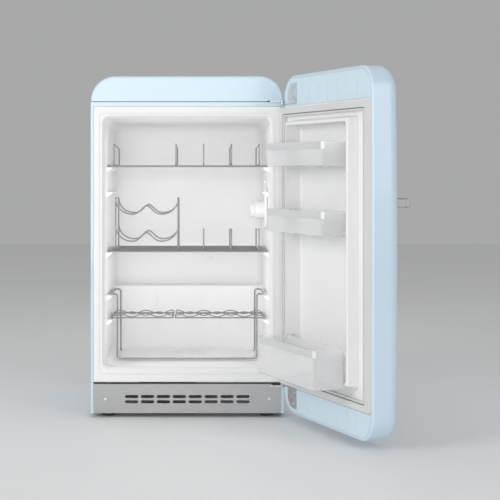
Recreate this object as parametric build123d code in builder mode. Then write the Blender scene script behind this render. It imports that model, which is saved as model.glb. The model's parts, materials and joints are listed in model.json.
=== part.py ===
"""Small retro refrigerator with one door, built as an assembly of separate pieces.

Frame: origin on the floor at the centre of the cabinet's footprint, +Z up, the door faces -Y,
the hinge pins stand on the +X side.  All sizes are millimetres.  The door and everything on it
are drawn shut and then swung about the pins to the stored opening angle.
"""

import os

from build123d import *

os.makedirs("parts", exist_ok=True)

# ---------------------------------------------------------------- cabinet sizes
CABINET_WIDTH = 543.0
CABINET_DEPTH = 547.0
CABINET_HEIGHT = 960.0
FOOT_HEIGHT = 12.0
SHEET = 1.2                    # steel sheet of the cabinet and door skins
PLASTIC = 2.0                  # thermoformed liners

CAP_HEIGHT = 71.0              # rounded top cap
CAP_CORNER = 69.0
CAP_WALL = 2.5
CAP_GAP = 2.0                  # dark joint under the cap
CAP_EDGE = 5.0

SIDE_RETURN = 7.5              # side sheet folded over the front face
REAR_RETURN = 12.0
TOP_STRIP = 12.0               # painted strip over the white frame
FRAME_BORDER = 17.0            # white front frame, from strip to liner flange
FRAME_THICKNESS = 2.5
PLINTH_TOP = 94.0
PLINTH_GAP = 6.0
SEAM = 0.5

# ---------------------------------------------------------------- cavity sizes
MOUTH_WIDTH = 466.0
MOUTH_HEIGHT = 702.0
MOUTH_BOTTOM = 140.0
MOUTH_CORNER = 16.0
MOUTH_FLARE = 7.0
CAVITY_DEPTH = 440.0
CAVITY_TAPER = 7.0             # the back wall is this much smaller on each side
BACK_CORNER = 30.0
BACK_ROUND = 20.0
HUMP_FACE_DEPTH = 362.0        # step over the compressor bay, measured from the front
HUMP_HEIGHT = 201.0
HUMP_ROUND = 10.0
HUMP_PANEL = 1.5
LEDGE_WIDTH = 9.0
LEDGE_HEIGHT = 8.0
LEDGE_START = 92.0
LEDGE_END = 352.0

# ---------------------------------------------------------------- machine bay and back
BAY_HEIGHT = 300.0
BAY_DEPTH = 149.0
BACK_RECESS = 26.0             # back panel sits this far inside the side sheets
CONDENSER_TUBE = 5.0
CONDENSER_WIRE = 1.6

# ---------------------------------------------------------------- shelves
SHELF_FRONT = 88.0             # depth of the shelf's front wire behind the front plane
SHELF_REAR = 345.0
UPPER_SHELF_Z = 707.0
LOWER_SHELF_Z = 462.0
SHELF_WIRE = 5.0
CROSS_WIRE = 3.0
DIVIDER_WIRE = 4.0
CROSS_COUNT = 9
DIVIDER_X = (-212.0, -34.0, 46.0, 126.0, 206.0)
DIVIDER_FRONT_HEIGHT = 63.0
DIVIDER_REAR_HEIGHT = 54.0
WALL_CLEARANCE = 3.0

# ---------------------------------------------------------------- bottle racks and basket
CRADLE_PITCH = 90.0
CRADLE_DROP = 43.0
CRADLE_DIP = 19.0              # the crest between two cradles is this much lower
RACK_WIRE = 4.0
WINE_RACK_LEFT = -208.0
WINE_RACK_TOP = 147.0          # height of the upper crests over the shelf wires
WINE_RACK_TIER = 78.0
WINE_RACK_DEPTH = 150.0
LOW_RACK_Z = 266.0
LOW_RACK_FRONT = 138.0
LOW_RACK_DEPTH = 140.0
LOW_CRADLE = 80.0
LOW_WAVE = 10.0
BASKET_FRONT = 118.0
BASKET_DEPTH = 170.0
BASKET_TOP = 337.0
BASKET_BOTTOM = 150.0
BASKET_WIDTH = 404.0
BASKET_CENTRE = -2.0
BASKET_HOOK = 19.0
BASKET_WIRE = 5.0
FLOOR_PLATE = 3.0

# ---------------------------------------------------------------- thermostat and lamp
CONTROL_DEPTH = 150.0
CONTROL_Z = 580.0
CONTROL_DIAMETER = 54.0
CONTROL_LENGTH = 33.0
KNOB_DIAMETER = 42.0
KNOB_LENGTH = 13.0
SPINDLE_DIAMETER = 6.0

# ---------------------------------------------------------------- door sizes
DOOR_BOTTOM = 19.0
DOOR_HEIGHT = 939.5
DOOR_THICKNESS = 80.0
DOOR_BOW = 6.0                 # the face bulges by this much at mid height
DOOR_CORNER = 70.0
DOOR_OUTER_ROUND = 28.0
DOOR_INNER_ROUND = 6.0
DOOR_LIP = 10.0                # skin folded in round the inner side
DOOR_GAP = 13.0                # door's inner side to cabinet front when shut
DOOR_OPEN = 110.5              # stored opening angle
PIN_INSET = 5.0                # hinge axis from the door's side edge
PIN_FROM_FRONT = 7.0           # hinge axis in front of the cabinet face
PIN_RADIUS = 3.0
BUSH_WALL = 1.1
RUNNING_GAP = 0.05
EAR_RADIUS = 5.8
LEAF_THICKNESS = 3.0
BRACKET_THICKNESS = 3.5

GASKET_WIDTH = 531.5
GASKET_HEIGHT = 770.0
GASKET_BOTTOM = 98.5
GASKET_BAND = 24.0
GASKET_CLEARANCE = 0.4
DIKE_WIDTH = 397.0
DIKE_BOTTOM = 147.0
DIKE_HEIGHT = 687.0
DIKE_RISE = 30.0
DIKE_BAND = 11.0
DIKE_TAPER = 14.0
RECESS_DEPTH = 16.0
END_CAP_SPLIT = 5.5            # end caps start this far beyond the gasket
RIB_COUNT = 7
RIB_PITCH = 58.3
RIB_CENTRE = -15.5

BALCONY_WIDTH = 357.0
BALCONY_WALL = 2.5
BALCONY_TRIM = 18.0
TRIM_RETURN = 7.0              # the trim ends on the rounded corner
EAR_HEIGHT = 14.0
REST_GAP = 0.3
BALCONIES = {                  # name: (bottom, top, rear and front from the door's inner side)
    "top": (706.0, 767.0, -10.0, 93.0),
    "middle": (530.0, 591.0, -10.0, 93.0),
    "bottom": (146.0, 245.0, DIKE_RISE + REST_GAP, 117.0),
}

HANDLE_Z = 613.0
HANDLE_LENGTH = 190.0
HANDLE_FROM_EDGE = 28.0
HANDLE_STANDOFF = 40.0
HANDLE_POST = 15.0
HANDLE_HEIGHT = 24.0
HANDLE_BAR = 13.0

# ---------------------------------------------------------------- derived places
HALF_WIDTH = CABINET_WIDTH / 2
FRONT = -CABINET_DEPTH / 2
BACK = CABINET_DEPTH / 2
CAP_BOTTOM = CABINET_HEIGHT - CAP_HEIGHT
DECK_TOP = CAP_BOTTOM - CAP_GAP
FRAME_TOP = DECK_TOP - TOP_STRIP
FRAME_BOTTOM = PLINTH_TOP + PLINTH_GAP
FRAME_HALF = HALF_WIDTH - SIDE_RETURN
BACK_PANEL = BACK - BACK_RECESS
BAY_FRONT = BACK - BAY_DEPTH
FLANGE_HALF = FRAME_HALF - FRAME_BORDER
FLANGE_BOTTOM = FRAME_BOTTOM + FRAME_BORDER + 5
FLANGE_TOP = FRAME_TOP - FRAME_BORDER - 3
MOUTH_CENTRE = MOUTH_BOTTOM + MOUTH_HEIGHT / 2
HINGE_X = HALF_WIDTH - PIN_INSET
HINGE_Y = FRONT - PIN_FROM_FRONT
HINGE_AXIS = Axis((HINGE_X, HINGE_Y, 0), (0, 0, 1))
INNER = FRONT - DOOR_GAP       # the shut door's inner side
DOOR_CENTRE = DOOR_BOTTOM + DOOR_HEIGHT / 2
CAP_SPLIT_TOP = GASKET_BOTTOM + GASKET_HEIGHT + END_CAP_SPLIT
CAP_SPLIT_BOTTOM = GASKET_BOTTOM - END_CAP_SPLIT


# ---------------------------------------------------------------- helpers
def across(y):
    """Vertical plane across the cabinet at y, seen from the front: local x, y are X, Z."""
    return Plane(origin=(0, y, 0), x_dir=(1, 0, 0), z_dir=(0, -1, 0))


def save(piece, name):
    piece.part.label = name
    export_step(piece.part, f"parts/{name}.step")


def swing(piece):
    """Turn a piece drawn on the shut door to the stored opening angle."""
    piece.part = piece.part.rotate(HINGE_AXIS, DOOR_OPEN)


def save_on_door(piece, name):
    swing(piece)
    save(piece, name)


def wall_at(depth):
    """Half width of the cavity at a depth behind the front plane."""
    return MOUTH_WIDTH / 2 - CAVITY_TAPER * depth / CAVITY_DEPTH


def rod(points, diameter, bend):
    """Round bar bent along points."""
    with BuildPart() as bar:
        with BuildLine() as path:
            FilletPolyline(*points, radius=bend)
        with BuildSketch(Plane(origin=path.line @ 0, z_dir=path.line % 0)):
            Circle(diameter / 2)
        sweep()
    return bar.part


def ring_rod(points, diameter, bend):
    """Round bar bent into a closed ring through points."""
    with BuildPart() as bar:
        with BuildLine() as path:
            FilletPolyline(*points, radius=bend, close=True)
        with BuildSketch(Plane(origin=path.line @ 0, z_dir=path.line % 0)):
            Circle(diameter / 2)
        sweep()
    return bar.part


def straight(start, end, diameter):
    """Straight round bar from start to end."""
    with BuildPart() as bar:
        with BuildLine() as path:
            Line(start, end)
        with BuildSketch(Plane(origin=start, z_dir=path.line % 0)):
            Circle(diameter / 2)
        sweep()
    return bar.part


def slab(x, y, z):
    """Plain block between pairs of X, Y and Z values."""
    with BuildPart(Plane(origin=(x[0], y[0], z[0]))) as block:
        Box(x[1] - x[0], y[1] - y[0], z[1] - z[0], align=(Align.MIN, Align.MIN, Align.MIN))
    return block.part


def screw(centre, direction, head, height):
    """Pan head screw with a cross recess; the head stands on centre, shank behind it."""
    with BuildPart() as fastener:
        with BuildSketch(Plane(origin=centre, z_dir=direction)):
            Circle(head / 2)
        extrude(amount=height)
        fillet(fastener.faces().sort_by(Axis(centre, direction))[-1].edges(), height * 0.6)
        with BuildSketch(Plane(origin=Vector(*centre) + Vector(*direction) * height, z_dir=direction)):
            Rectangle(head * 0.55, head * 0.12)
            Rectangle(head * 0.12, head * 0.55)
        extrude(amount=-height * 0.45, mode=Mode.SUBTRACT)
    return fastener.part


# ================================================================ cabinet shell
with BuildPart() as left_side:
    with BuildSketch(Plane.XY.offset(FOOT_HEIGHT)):
        with Locations((-HALF_WIDTH + SHEET / 2, 0)):
            Rectangle(SHEET, CABINET_DEPTH)
        with Locations((-HALF_WIDTH, FRONT)):
            Rectangle(SIDE_RETURN, SHEET, align=Align.MIN)
        with Locations((-HALF_WIDTH, BACK)):
            Rectangle(REAR_RETURN, SHEET, align=(Align.MIN, Align.MAX))
    extrude(amount=DECK_TOP - FOOT_HEIGHT)
save(left_side, "side_panel_left")

with BuildPart() as right_side:
    mirror(left_side.part, about=Plane.YZ)
save(right_side, "side_panel_right")

with BuildPart() as top_deck:
    with BuildSketch(Plane.XY.offset(DECK_TOP - SHEET)):
        with Locations((0, FRONT)):
            Rectangle(2 * (HALF_WIDTH - SHEET), BACK_PANEL - FRONT, align=(Align.CENTER, Align.MIN))
        for side in (-1, 1):
            with Locations((side * (HALF_WIDTH - SHEET), FRONT)):
                Rectangle(2 * (SIDE_RETURN - SHEET), 2 * SHEET, mode=Mode.SUBTRACT)
    extrude(amount=SHEET)
    with BuildSketch(across(FRONT)):
        with Locations((0, FRAME_TOP)):
            Rectangle(2 * FRAME_HALF, TOP_STRIP, align=(Align.CENTER, Align.MIN))
    extrude(amount=-SHEET)
save(top_deck, "top_deck")

BRACKET_X = (FRAME_HALF - 38, HALF_WIDTH)
BRACKET_REACH = 52.0


def cap_face(y, inset):
    """Front outline of the top cap as a face across the cabinet at y."""
    half = HALF_WIDTH - inset
    top = CABINET_HEIGHT - inset
    radius = CAP_CORNER - inset
    with BuildSketch(across(y)) as face:
        with BuildLine():
            Line((-half, CAP_BOTTOM), (-half, top - radius))
            RadiusArc((-half, top - radius), (-half + radius, top), radius)
            Line((-half + radius, top), (half - radius, top))
            RadiusArc((half - radius, top), (half, top - radius), radius)
            Line((half, top - radius), (half, CAP_BOTTOM))
            Line((half, CAP_BOTTOM), (-half, CAP_BOTTOM))
        make_face()
    return face.sketch


cap_outer_face = cap_face(FRONT, 0)
cap_inner_face = cap_face(FRONT + CAP_WALL, CAP_WALL)
bracket_relief = slab(
    (BRACKET_X[0] - 1, HALF_WIDTH + 1),
    (FRONT - 1, FRONT + BRACKET_REACH + 1),
    (CAP_BOTTOM - 1, DECK_TOP + BRACKET_THICKNESS + 0.5),
)

with BuildPart() as top_cap:
    extrude(cap_outer_face, amount=-CABINET_DEPTH)
    fillet(
        [
            edge
            for edge in top_cap.faces().filter_by(Axis.Y).edges()
            if edge.center().Z > CAP_BOTTOM + 0.1
        ],
        CAP_EDGE,
    )
    extrude(cap_inner_face, amount=-(CABINET_DEPTH - 2 * CAP_WALL), mode=Mode.SUBTRACT)
    add(bracket_relief, mode=Mode.SUBTRACT)
save(top_cap, "top_cap")

with BuildPart() as cap_seal:
    with BuildSketch(Plane.XY.offset(DECK_TOP)):
        Rectangle(CABINET_WIDTH - 6, CABINET_DEPTH - 6)
        Rectangle(CABINET_WIDTH - 18, CABINET_DEPTH - 18, mode=Mode.SUBTRACT)
        with Locations((HALF_WIDTH, FRONT)):
            Rectangle(2 * (HALF_WIDTH - BRACKET_X[0] + 1), 2 * (BRACKET_REACH + 1), mode=Mode.SUBTRACT)
        with Locations((0, BACK)):
            Rectangle(CABINET_WIDTH, 2 * BACK_RECESS, mode=Mode.SUBTRACT)
    extrude(amount=CAP_GAP)
save(cap_seal, "cap_seal")

with BuildPart() as front_frame:
    with BuildSketch(across(FRONT)):
        with Locations((0, (FRAME_BOTTOM + FRAME_TOP - SEAM) / 2)):
            Rectangle(2 * (FRAME_HALF - SEAM), FRAME_TOP - SEAM - FRAME_BOTTOM)
        with Locations((0, (FLANGE_BOTTOM + FLANGE_TOP) / 2)):
            RectangleRounded(2 * FLANGE_HALF, FLANGE_TOP - FLANGE_BOTTOM, 8, mode=Mode.SUBTRACT)
    extrude(amount=-FRAME_THICKNESS)
    fillet(
        front_frame.faces().sort_by(Axis.Y)[0].outer_wire().edges(),
        0.8,
    )
save(front_frame, "front_frame")


# ================================================================ inner liner
def cavity(skin):
    """Space inside the liner, grown outward by skin: 0 is its inside, PLASTIC its outside."""
    half_back = MOUTH_WIDTH - 2 * CAVITY_TAPER + 2 * skin
    high_back = MOUTH_HEIGHT - 2 * CAVITY_TAPER + 2 * skin
    back = FRONT + CAVITY_DEPTH + skin
    with BuildPart() as space:
        with BuildSketch(across(FRONT)):
            with Locations((0, MOUTH_CENTRE)):
                RectangleRounded(MOUTH_WIDTH + 2 * skin, MOUTH_HEIGHT + 2 * skin, MOUTH_CORNER + skin)
        with BuildSketch(across(back)):
            with Locations((0, MOUTH_CENTRE)):
                RectangleRounded(half_back, high_back, BACK_CORNER + skin)
        loft()
        fillet(space.faces().sort_by(Axis.Y)[-1].edges(), BACK_ROUND + skin)
        add(
            slab(
                (-HALF_WIDTH, HALF_WIDTH),
                (FRONT + HUMP_FACE_DEPTH + skin, BACK),
                (0, MOUTH_BOTTOM + HUMP_HEIGHT - skin),
            ),
            mode=Mode.SUBTRACT,
        )
    return space.part


def mouth(y_front, y_rear, flare, skin):
    """Slab in front of the cavity, with the flared edge that leads into it."""
    with BuildPart() as lead:
        with BuildSketch(across(y_front)):
            with Locations((0, (FLANGE_BOTTOM + FLANGE_TOP) / 2)):
                RectangleRounded(
                    2 * (FLANGE_HALF - SEAM), FLANGE_TOP - FLANGE_BOTTOM - 2 * SEAM, 8 - SEAM
                )
        extrude(amount=-(y_rear - y_front))
        with BuildSketch(across(y_rear)):
            with Locations((0, MOUTH_CENTRE)):
                RectangleRounded(
                    MOUTH_WIDTH + 2 * skin + 2 * flare,
                    MOUTH_HEIGHT + 2 * skin + 2 * flare,
                    MOUTH_CORNER + skin + flare,
                )
        with BuildSketch(across(y_rear + flare)):
            with Locations((0, MOUTH_CENTRE)):
                RectangleRounded(
                    MOUTH_WIDTH + 2 * skin - 0.4, MOUTH_HEIGHT + 2 * skin - 0.4, MOUTH_CORNER + skin
                )
        loft()
    return lead.part


liner_outside = cavity(PLASTIC) + mouth(FRONT, FRONT + PLASTIC, MOUTH_FLARE - PLASTIC, PLASTIC)
liner_inside = cavity(0) + mouth(FRONT - 20, FRONT, MOUTH_FLARE, 0)

LEDGE_LEVELS = (
    UPPER_SHELF_Z - SHELF_WIRE / 2 - REST_GAP,
    632.0,
    LOWER_SHELF_Z - SHELF_WIRE / 2 - REST_GAP,
    BASKET_TOP - BASKET_WIRE / 2 - REST_GAP,
    LOW_RACK_Z - RACK_WIRE / 2 - REST_GAP,
)

control_relief = slab(
    (0, HALF_WIDTH),
    (FRONT + CONTROL_DEPTH - 34, FRONT + CONTROL_DEPTH + 34),
    (CONTROL_Z - 60, CONTROL_Z + 70),
)

with BuildPart() as ledge_bars:
    for level in LEDGE_LEVELS:
        for side in (-1, 1):
            with BuildSketch(across(FRONT + LEDGE_START)):
                with BuildLine():
                    Polyline(
                        (side * (wall_at(LEDGE_START) + PLASTIC), level),
                        (side * (wall_at(LEDGE_END) - LEDGE_WIDTH), level),
                        (side * (wall_at(LEDGE_END) - LEDGE_WIDTH), level - LEDGE_HEIGHT / 2),
                        (side * (wall_at(LEDGE_START) + PLASTIC), level - 2 * LEDGE_HEIGHT),
                        close=True,
                    )
                make_face()
            extrude(amount=-(LEDGE_END - LEDGE_START))
    add(cavity(PLASTIC / 2), mode=Mode.INTERSECT)
    add(control_relief, mode=Mode.SUBTRACT)

with BuildPart() as inner_liner:
    add(liner_outside)
    add(liner_inside, mode=Mode.SUBTRACT)
    add(ledge_bars.part)
    with BuildSketch(across(FRONT + HUMP_FACE_DEPTH)):
        for centre in (-131.0, 131.0):
            with Locations((centre, MOUTH_BOTTOM + HUMP_HEIGHT / 2)):
                RectangleRounded(62, HUMP_HEIGHT - 26, 4)
        for centre in (-66.0, 66.0):
            with Locations((centre, MOUTH_BOTTOM + HUMP_HEIGHT / 2 + 6)):
                RectangleRounded(62, HUMP_HEIGHT - 14, 4)
    extrude(amount=HUMP_PANEL)
save(inner_liner, "inner_liner")

# ================================================================ insulation and cold wall
INSIDE = HALF_WIDTH - SHEET
EVAPORATOR_Y = FRONT + CAVITY_DEPTH + PLASTIC
EVAPORATOR_SIZE = (340.0, 400.0)
EVAPORATOR_Z = 600.0
EVAPORATOR_TUBE = 6.0



def serpentine(y, half_width, bottom, pitch, turns, diameter):
    """Tube that runs to and fro across the cabinet, climbing by pitch at each turn."""
    points = []
    side = -1
    for turn in range(turns):
        level = bottom + turn * pitch
        points += [(side * half_width, y, level), (-side * half_width, y, level)]
        side = -side
    return rod(points, diameter, pitch * 0.45)


evaporator_run = serpentine(EVAPORATOR_Y + 1 + EVAPORATOR_TUBE / 2, 150, 430, 48, 8, EVAPORATOR_TUBE)
with BuildPart() as evaporator:
    with BuildSketch(across(EVAPORATOR_Y)):
        with Locations((0, EVAPORATOR_Z)):
            RectangleRounded(*EVAPORATOR_SIZE, 10)
    extrude(amount=-1.5)
    add(evaporator_run)
save(evaporator, "evaporator")

PROBE = (67.0, 423.0)
PROBE_RADIUS = 4.0
with BuildPart() as probe_clip:
    with BuildSketch(across(FRONT + CAVITY_DEPTH)):
        with Locations(PROBE):
            Circle(PROBE_RADIUS)
    extrude(amount=4)
    fillet(probe_clip.faces().sort_by(Axis.Y)[0].edges(), 1.5)
save(probe_clip, "probe_clip")

bay_profile = [
    (FRONT + FRAME_THICKNESS, FRAME_BOTTOM),
    (BAY_FRONT, FRAME_BOTTOM),
    (BAY_FRONT, BAY_HEIGHT),
    (BACK_PANEL, BAY_HEIGHT),
    (BACK_PANEL, DECK_TOP - SHEET),
    (FRONT + FRAME_THICKNESS, DECK_TOP - SHEET),
]
DRAIN_X = 0.0
DRAIN_Y = BAY_FRONT + 36
DRAIN_RADIUS = 7.0

with BuildPart() as cabinet_foam:
    with BuildSketch(Plane.YZ.offset(-INSIDE)):
        with BuildLine():
            Polyline(*bay_profile, close=True)
        make_face()
    extrude(amount=2 * INSIDE)
    add(liner_outside, mode=Mode.SUBTRACT)
    add(evaporator.part, mode=Mode.SUBTRACT)
    add(
        slab((-INSIDE, INSIDE), (FRONT, FRONT + FRAME_THICKNESS + 4), (0, CABINET_HEIGHT)),
        mode=Mode.SUBTRACT,
    )
save(cabinet_foam, "cabinet_insulation")

with BuildPart() as bay_panel:
    with BuildSketch(Plane.YZ.offset(-INSIDE)):
        with BuildLine():
            Polyline(
                (FRONT + 18, FRAME_BOTTOM),
                (BAY_FRONT, FRAME_BOTTOM),
                (BAY_FRONT, BAY_HEIGHT),
                (BACK_PANEL, BAY_HEIGHT),
                (BACK_PANEL, BAY_HEIGHT - SHEET),
                (BAY_FRONT + SHEET, BAY_HEIGHT - SHEET),
                (BAY_FRONT + SHEET, FRAME_BOTTOM - SHEET),
                (FRONT + 18, FRAME_BOTTOM - SHEET),
                close=True,
            )
        make_face()
    extrude(amount=2 * INSIDE)
save(bay_panel, "bay_panel")

GLAND = (190.0, BAY_HEIGHT + 26)
GLAND_RADIUS = 7.0
with BuildPart() as back_panel:
    with BuildSketch(across(BACK_PANEL)):
        with Locations((0, (BAY_HEIGHT + DECK_TOP - SHEET) / 2)):
            Rectangle(2 * INSIDE, DECK_TOP - SHEET - BAY_HEIGHT)
        with Locations(GLAND):
            Circle(GLAND_RADIUS, mode=Mode.SUBTRACT)
    extrude(amount=-SHEET)
save(back_panel, "back_panel")

with BuildPart() as mains_gland:
    with BuildSketch(across(BACK_PANEL)):
        with Locations(GLAND):
            Circle(GLAND_RADIUS)
    extrude(amount=-9)
    with BuildSketch(across(BACK_PANEL + SHEET)):
        with Locations(GLAND):
            Circle(GLAND_RADIUS + 4)
    extrude(amount=-3)
    with BuildSketch(across(BACK_PANEL)):
        with Locations(GLAND):
            Circle(3.6)
    extrude(amount=-9, mode=Mode.SUBTRACT)
save(mains_gland, "mains_gland")

# ================================================================ condenser on the back
CONDENSER_Y = BACK_PANEL + SHEET + 9
CONDENSER_HALF = 225.0
CONDENSER_BOTTOM = 352.0
CONDENSER_PITCH = 44.0
CONDENSER_TURNS = 12
CONDENSER_TOP = CONDENSER_BOTTOM + CONDENSER_PITCH * (CONDENSER_TURNS - 1)
condenser_run = serpentine(
    CONDENSER_Y, CONDENSER_HALF, CONDENSER_BOTTOM, CONDENSER_PITCH, CONDENSER_TURNS, CONDENSER_TUBE
)
with BuildPart() as condenser_tube:
    add(condenser_run)
save(condenser_tube, "condenser_tube")

WIRE_PITCH = 16.5
WIRE_COUNT = 25
with BuildPart() as condenser_wires:
    with BuildSketch(Plane.XY.offset(CONDENSER_BOTTOM - 14)):
        with Locations((0, CONDENSER_Y + (CONDENSER_TUBE + CONDENSER_WIRE) / 2)):
            with GridLocations(WIRE_PITCH, 1, WIRE_COUNT, 1):
                Circle(CONDENSER_WIRE / 2)
    extrude(amount=CONDENSER_TOP - CONDENSER_BOTTOM + 28)
save(condenser_wires, "condenser_wires")

with BuildPart() as condenser_brackets:
    for side in (-1, 1):
        for height in (CONDENSER_BOTTOM + CONDENSER_PITCH * 1.5, CONDENSER_TOP - CONDENSER_PITCH * 1.5):
            with BuildSketch(Plane.XY.offset(height - 7)):
                with BuildLine():
                    Polyline(
                        (side * (CONDENSER_HALF - 22), BACK_PANEL + SHEET),
                        (side * (CONDENSER_HALF + 20), BACK_PANEL + SHEET),
                        (side * (CONDENSER_HALF + 20), BACK_PANEL + SHEET + 1.5),
                        (side * (CONDENSER_HALF - 6), BACK_PANEL + SHEET + 1.5),
                        (side * (CONDENSER_HALF - 14), CONDENSER_Y + 6),
                        (side * (CONDENSER_HALF - 22), CONDENSER_Y + 6),
                        close=True,
                    )
                make_face()
            extrude(amount=14)
save(condenser_brackets, "condenser_brackets")

# ================================================================ base, feet and machine bay
RAIL_HEIGHT = 20.0
RAIL_WIDTH = 46.0
FOOT_X = 226.0
FRONT_FOOT_Y = FRONT + 48
REAR_FOOT_Y = BACK - 46
FOOT_RADIUS = 19.0
FOOT_STEM = 5.0
BASE_BOTTOM = FOOT_HEIGHT + 2
TRAY_TOP = BASE_BOTTOM + RAIL_HEIGHT

with BuildPart() as base_frame:
    for side in (-1, 1):
        with BuildSketch(Plane.XZ.offset(-(FRONT + 20))):
            with Locations((side * (INSIDE - RAIL_WIDTH / 2), BASE_BOTTOM + RAIL_HEIGHT / 2)):
                Rectangle(RAIL_WIDTH, RAIL_HEIGHT)
            with Locations((side * (INSIDE - RAIL_WIDTH / 2), BASE_BOTTOM + (RAIL_HEIGHT - 2) / 2)):
                Rectangle(RAIL_WIDTH - 4, RAIL_HEIGHT - 2, mode=Mode.SUBTRACT)
        extrude(amount=-(CABINET_DEPTH - 40))
    for beam_y in (FRONT + 40, BAY_FRONT - 20, BACK - 40):
        with BuildSketch(Plane.YZ.offset(-(INSIDE - RAIL_WIDTH))):
            with Locations((beam_y, BASE_BOTTOM + RAIL_HEIGHT - 5)):
                Rectangle(34, 10)
            with Locations((beam_y, BASE_BOTTOM + RAIL_HEIGHT - 6)):
                Rectangle(30, 8, mode=Mode.SUBTRACT)
        extrude(amount=2 * (INSIDE - RAIL_WIDTH))
    with Locations(
        *[(side * FOOT_X, foot_y, TRAY_TOP) for side in (-1, 1) for foot_y in (FRONT_FOOT_Y, REAR_FOOT_Y)]
    ):
        Hole(FOOT_STEM)
save(base_frame, "base_frame")


foot_places = [
    (side * FOOT_X, foot_y) for side in (-1, 1) for foot_y in (FRONT_FOOT_Y, REAR_FOOT_Y)
]
with BuildPart() as screw_feet:
    with BuildSketch(Plane.XY):
        with Locations(*foot_places):
            Circle(FOOT_RADIUS)
    extrude(amount=FOOT_HEIGHT - 1)
    chamfer(screw_feet.edges().group_by(Axis.Z)[0], 1.5)
    with BuildSketch(Plane.XY.offset(FOOT_HEIGHT - 1)):
        with Locations(*foot_places):
            RegularPolygon(9, 6)
    extrude(amount=2.9)
    with BuildSketch(Plane.XY.offset(FOOT_HEIGHT / 2)):
        with Locations(*foot_places):
            Circle(FOOT_STEM - RUNNING_GAP)
    extrude(amount=TRAY_TOP - FOOT_HEIGHT / 2)
save(screw_feet, "screw_feet")

COMPRESSOR_X = -70.0
COMPRESSOR_Y = (BAY_FRONT + BACK) / 2
MOUNT_HEIGHT = 14.0
CAN_BOTTOM = TRAY_TOP + 2 + MOUNT_HEIGHT
CAN_SEAM = CAN_BOTTOM + 78
CAN_TOP = CAN_BOTTOM + 138
MOUNT_SPACING = (150.0, 84.0)

with BuildPart() as machine_plate:
    with BuildSketch(Plane.XY.offset(TRAY_TOP)):
        with Locations((0, COMPRESSOR_Y)):
            Rectangle(2 * (INSIDE - RAIL_WIDTH) + 40, BAY_DEPTH - 26)
        with Locations((COMPRESSOR_X, COMPRESSOR_Y)):
            with GridLocations(*MOUNT_SPACING, 2, 2):
                Circle(4, mode=Mode.SUBTRACT)
    extrude(amount=2)
save(machine_plate, "machine_plate")

with BuildPart() as compressor_mounts:
    with BuildSketch(Plane.XY.offset(TRAY_TOP + 2)):
        with Locations((COMPRESSOR_X, COMPRESSOR_Y)):
            with GridLocations(*MOUNT_SPACING, 2, 2):
                Circle(10)
    extrude(amount=MOUNT_HEIGHT - 2.5)
    fillet(compressor_mounts.edges().group_by(Axis.Z)[-1], 2)
save(compressor_mounts, "compressor_mounts")

with BuildPart() as compressor:
    with BuildSketch(Plane.XY.offset(CAN_BOTTOM)):
        with Locations((COMPRESSOR_X, COMPRESSOR_Y)):
            Ellipse(72, 56)
    with BuildSketch(Plane.XY.offset(CAN_SEAM)):
        with Locations((COMPRESSOR_X, COMPRESSOR_Y)):
            Ellipse(76, 60)
    with BuildSketch(Plane.XY.offset(CAN_TOP)):
        with Locations((COMPRESSOR_X, COMPRESSOR_Y)):
            Ellipse(66, 50)
    loft(ruled=True)
    fillet(compressor.edges().group_by(Axis.Z)[-1], 26)
    fillet(compressor.edges().group_by(Axis.Z)[0], 12)
    with BuildSketch(Plane.XY.offset(CAN_SEAM - 2)):
        with Locations((COMPRESSOR_X, COMPRESSOR_Y)):
            Ellipse(79, 63)
    extrude(amount=4)
    with BuildSketch(Plane.XY.offset(CAN_BOTTOM - 2.5)):
        with Locations((COMPRESSOR_X, COMPRESSOR_Y)):
            RectangleRounded(MOUNT_SPACING[0] + 26, MOUNT_SPACING[1] + 24, 10)
    extrude(amount=2.5)
save(compressor, "compressor")

with BuildPart(Plane(origin=(COMPRESSOR_X + 79, COMPRESSOR_Y, CAN_BOTTOM + 52))) as relay_box:
    Box(40, 62, 50, align=(Align.MIN, Align.CENTER, Align.CENTER))
    fillet(relay_box.edges().filter_by(Axis.X), 6)
save(relay_box, "relay_box")

TRAY_BOTTOM = CAN_TOP + 14
with BuildPart() as drip_tray:
    with BuildSketch(Plane.XY.offset(TRAY_BOTTOM)):
        with Locations((COMPRESSOR_X + 30, COMPRESSOR_Y)):
            RectangleRounded(210, 116, 14)
    extrude(amount=30)
    with BuildSketch(Plane.XY.offset(TRAY_BOTTOM + 2)):
        with Locations((COMPRESSOR_X + 30, COMPRESSOR_Y)):
            RectangleRounded(206, 112, 12)
    extrude(amount=30, mode=Mode.SUBTRACT)
save(drip_tray, "drip_tray")

with BuildPart() as drain_tube:
    with BuildSketch(Plane.XY.offset(TRAY_BOTTOM + 14)):
        with Locations((DRAIN_X, DRAIN_Y)):
            Circle(DRAIN_RADIUS)
            Circle(DRAIN_RADIUS - 1.5, mode=Mode.SUBTRACT)
    extrude(amount=BAY_HEIGHT - SHEET - TRAY_BOTTOM - 14)
save(drain_tube, "drain_tube")

discharge_run = rod(
    [
        (COMPRESSOR_X - 60, COMPRESSOR_Y, CAN_BOTTOM + 60),
        (COMPRESSOR_X - 130, COMPRESSOR_Y, CAN_BOTTOM + 60),
        (COMPRESSOR_X - 130, CONDENSER_Y, CAN_BOTTOM + 60),
        (COMPRESSOR_X - 130, CONDENSER_Y, BAY_HEIGHT + 8),
        (-CONDENSER_HALF - 14, CONDENSER_Y, BAY_HEIGHT + 8),
        (-CONDENSER_HALF - 14, CONDENSER_Y, CONDENSER_BOTTOM),
        (-CONDENSER_HALF, CONDENSER_Y, CONDENSER_BOTTOM),
    ],
    CONDENSER_TUBE,
    6,
)
with BuildPart() as discharge_pipe:
    add(discharge_run)
    add(compressor.part, mode=Mode.SUBTRACT)
save(discharge_pipe, "discharge_pipe")

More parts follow.
